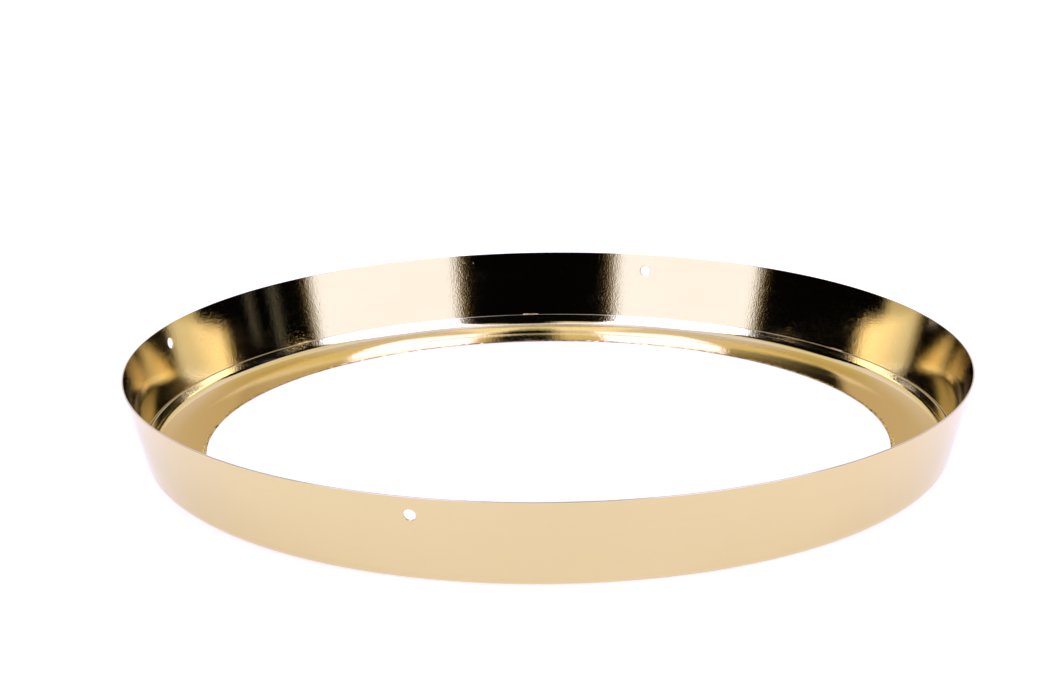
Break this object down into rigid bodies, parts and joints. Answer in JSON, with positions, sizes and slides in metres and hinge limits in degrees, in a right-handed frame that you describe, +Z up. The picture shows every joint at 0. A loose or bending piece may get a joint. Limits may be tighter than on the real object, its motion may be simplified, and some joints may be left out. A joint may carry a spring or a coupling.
{
  "type": "wreath frame",
  "caption": "Shallow round gold-plated frame for a wreath: a flared band around a flat ring with a wide round opening, with small hanging holes under the rim.",
  "frame": {"origin": "middle of the round outline, on the surface the frame stands on", "axes": "+Z up along the ring's axis, towards the wide rim; the first hanging hole is 74 degrees from +X"},
  "size_m": [0.4, 0.4, 0.041],
  "materials": {
    "gold_plated_band": "polished",
    "gold_plated_ring": "satin",
    "plated_solder": "satin"
  },
  "bodies": {
    "root": {"flared_band": "gold_plated_band", "base_ring": "gold_plated_ring", "solder_tack_1": "plated_solder", "solder_tack_2": "plated_solder", "solder_tack_3": "plated_solder", "solder_tack_4": "plated_solder", "solder_tack_5": "plated_solder", "solder_tack_6": "plated_solder", "solder_tack_7": "plated_solder", "solder_tack_8": "plated_solder"}
  },
  "joints": []
}
